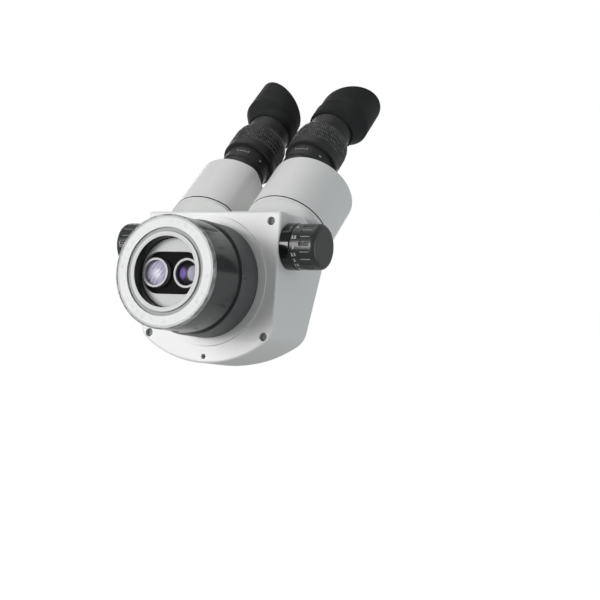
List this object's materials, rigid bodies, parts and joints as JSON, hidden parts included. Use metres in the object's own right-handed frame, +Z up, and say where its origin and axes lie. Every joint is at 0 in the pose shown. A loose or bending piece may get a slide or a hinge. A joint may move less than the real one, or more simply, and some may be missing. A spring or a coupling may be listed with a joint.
{
  "type": "stereo microscope head",
  "caption": "Binocular zoom stereo microscope head with inclined eyepieces, side zoom knobs and an LED ring light round its objectives.",
  "frame": {"origin": "on the optical axis, at the shoulder of the mounting collar where a holder's ring stops", "axes": "+Z up along the optical axis with the objectives pointing down, -Y towards the user, +X to the user's right"},
  "size_m": [0.154, 0.2175, 0.2055],
  "materials": {
    "white_paint": "smooth white powder coat",
    "dark_steel": "blackened steel",
    "dark_anodised": "matte dark grey anodised",
    "black_metal": "satin black anodised",
    "pale_metal": "satin",
    "bright_metal": "bright turned",
    "coated_glass": "purple coated",
    "clear_glass": "polished",
    "gloss_black": "gloss",
    "clear_plastic": "clear moulded",
    "diffuser_plastic": "milky",
    "pale_plastic": "satin white",
    "circuit_board": "white board",
    "led_plastic": "clear epoxy",
    "brass": "cut",
    "knob_plastic": "satin",
    "cup_rubber": "matte"
  },
  "bodies": {
    "head": {"main_housing": "white_paint", "upper_housing": "white_paint", "housing_screws": "dark_steel", "rear_set_screw": "dark_steel", "collar_flange": "white_paint", "mounting_collar": "dark_anodised", "collar_set_screw": "dark_steel", "objective_barrel": "black_metal", "objective_plate": "pale_metal", "left_objective_cell": "bright_metal", "right_objective_cell": "bright_metal", "left_objective_lens": "coated_glass", "right_objective_lens": "coated_glass", "ring_light_housing": "gloss_black", "ring_light_rim": "clear_plastic", "ring_light_diffuser": "diffuser_plastic", "ring_light_inner_ring": "pale_plastic", "led_board": "circuit_board", "leds": "led_plastic", "dc_inlet": "gloss_black", "guide_rods": "bright_metal", "guide_plate": "pale_metal", "erecting_prisms": "clear_glass", "shaft_bushes": "brass", "left_knob_collar": "gloss_black", "right_knob_collar": "gloss_black", "idler_pins": "bright_metal"},
    "zoom_drive": {"zoom_shaft": "bright_metal", "zoom_pinions": "brass", "left_zoom_knob": "knob_plastic", "right_zoom_knob": "knob_plastic", "knob_set_screws": "dark_steel"},
    "lower_carrier": {"lower_zoom_carrier": "black_metal", "lower_zoom_lenses": "clear_glass"},
    "upper_carrier": {"upper_zoom_carrier": "black_metal", "upper_zoom_lenses": "clear_glass"},
    "right_prism_body": {"right_prism_housing": "white_paint", "right_pivot_ring": "pale_metal", "right_pivot_gear": "brass", "right_rhomboid_prism": "clear_glass", "right_eyepiece_tube": "black_metal", "right_field_lens": "clear_glass"},
    "right_diopter": {"right_diopter_ring": "black_metal"},
    "right_eyepiece": {"right_eye_barrel": "black_metal", "right_eye_lens": "coated_glass"},
    "right_cup": {"right_eyecup": "cup_rubber"},
    "right_idler": {"right_idler_gear": "brass"},
    "left_prism_body": {"left_prism_housing": "white_paint", "left_pivot_ring": "pale_metal", "left_pivot_gear": "brass", "left_rhomboid_prism": "clear_glass", "left_eyepiece_tube": "black_metal", "left_field_lens": "clear_glass"},
    "left_diopter": {"left_diopter_ring": "black_metal"},
    "left_eyepiece": {"left_eye_barrel": "black_metal", "left_eye_lens": "coated_glass"},
    "left_cup": {"left_eyecup": "cup_rubber"},
    "left_idler": {"left_idler_gear": "brass"}
  },
  "joints": [
    {"name": "zoom_turn", "type": "hinge", "parent": "head", "child": "zoom_drive", "pos_m": [0, -0.025, 0.0155], "axis": [1, 0, 0], "range_deg": [-120, 120]},
    {"name": "lower_zoom_slide", "type": "slide", "parent": "head", "child": "lower_carrier", "axis": [0, 0, 1], "range_m": [-0.0075, 0.0075]},
    {"name": "upper_zoom_slide", "type": "slide", "parent": "head", "child": "upper_carrier", "axis": [0, 0, 1], "range_m": [-0.0107, 0.0107]},
    {"name": "right_interpupillary", "type": "hinge", "parent": "head", "child": "right_prism_body", "pos_m": [0.0305, -0.0393, 0.048], "axis": [0, -0.7071, 0.7071], "range_deg": [0, 55]},
    {"name": "right_idler_turn", "type": "hinge", "parent": "head", "child": "right_idler", "pos_m": [0.008, -0.0393, 0.048], "axis": [0, -0.7071, 0.7071], "range_deg": [-100, 0]},
    {"name": "right_diopter_turn", "type": "hinge", "parent": "right_prism_body", "child": "right_diopter", "pos_m": [0.0253, -0.09764, 0.08866], "axis": [0, -0.7071, 0.7071], "range_deg": [-150, 150]},
    {"name": "right_eye_lens_travel", "type": "slide", "parent": "right_prism_body", "child": "right_eyepiece", "axis": [0, -0.7071, 0.7071], "range_m": [-0.0026, 0.0026]},
    {"name": "right_eyecup_turn", "type": "hinge", "parent": "right_eyepiece", "child": "right_cup", "pos_m": [0.0253, -0.12592, 0.11694], "axis": [0, -0.7071, 0.7071], "range_deg": [-40, 40]},
    {"name": "left_interpupillary", "type": "hinge", "parent": "head", "child": "left_prism_body", "pos_m": [-0.0305, -0.0393, 0.048], "axis": [0, -0.7071, 0.7071], "range_deg": [-55, 0]},
    {"name": "left_idler_turn", "type": "hinge", "parent": "head", "child": "left_idler", "pos_m": [-0.008, -0.0393, 0.048], "axis": [0, -0.7071, 0.7071], "range_deg": [0, 100]},
    {"name": "left_diopter_turn", "type": "hinge", "parent": "left_prism_body", "child": "left_diopter", "pos_m": [-0.0253, -0.09764, 0.08866], "axis": [0, -0.7071, 0.7071], "range_deg": [-150, 150]},
    {"name": "left_eye_lens_travel", "type": "slide", "parent": "left_prism_body", "child": "left_eyepiece", "axis": [0, -0.7071, 0.7071], "range_m": [-0.0026, 0.0026]},
    {"name": "left_eyecup_turn", "type": "hinge", "parent": "left_eyepiece", "child": "left_cup", "pos_m": [-0.0253, -0.12592, 0.11694], "axis": [0, -0.7071, 0.7071], "range_deg": [-40, 40]}
  ],
  "couplings": [
    {"joint": "lower_zoom_slide", "follows": "zoom_turn", "m_per_rad": 0.0035},
    {"joint": "upper_zoom_slide", "follows": "zoom_turn", "m_per_rad": 0.005},
    {"joint": "right_eye_lens_travel", "follows": "right_diopter_turn", "m_per_rad": 0.00095493},
    {"joint": "left_eye_lens_travel", "follows": "left_diopter_turn", "m_per_rad": 0.00095493},
    {"joint": "left_interpupillary", "follows": "right_interpupillary", "ratio": -1},
    {"joint": "right_idler_turn", "follows": "right_interpupillary", "ratio": -1.8125},
    {"joint": "left_idler_turn", "follows": "right_interpupillary", "ratio": 1.8125}
  ]
}
